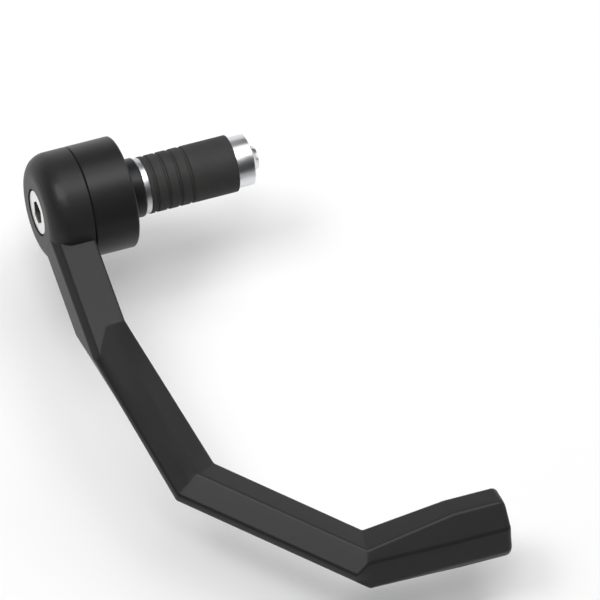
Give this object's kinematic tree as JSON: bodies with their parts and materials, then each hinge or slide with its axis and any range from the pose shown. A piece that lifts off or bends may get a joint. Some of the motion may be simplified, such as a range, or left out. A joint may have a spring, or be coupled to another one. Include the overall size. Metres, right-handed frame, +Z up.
{
  "type": "brake lever guard",
  "caption": "Moulded guard for a motorcycle's brake lever: a round boss at the bar's end and a thin faceted arm that curves round in front of the lever, with its expander fastening.",
  "frame": {"origin": "on the handlebar's axis, at the bar's open end, where the spacer's shoulder meets it", "axes": "+X along the bar's axis into the bar (inboard), +Y back to the rider, +Z up"},
  "size_m": [0.1005, 0.1444, 0.0347],
  "materials": {
    "moulding": "fine satin moulded nylon",
    "anodised": "turned, black anodised, satin",
    "bolt": "plain stainless, satin",
    "washer": "zinc plated",
    "rubber": "moulded black rubber",
    "nut": "turned, plain"
  },
  "bodies": {
    "root": {"lever_guard": "moulding", "bar_end_spacer": "anodised", "clamp_bolt": "bolt", "thrust_washer": "washer", "expander_sleeve": "rubber", "expander_nut": "nut"}
  },
  "joints": []
}
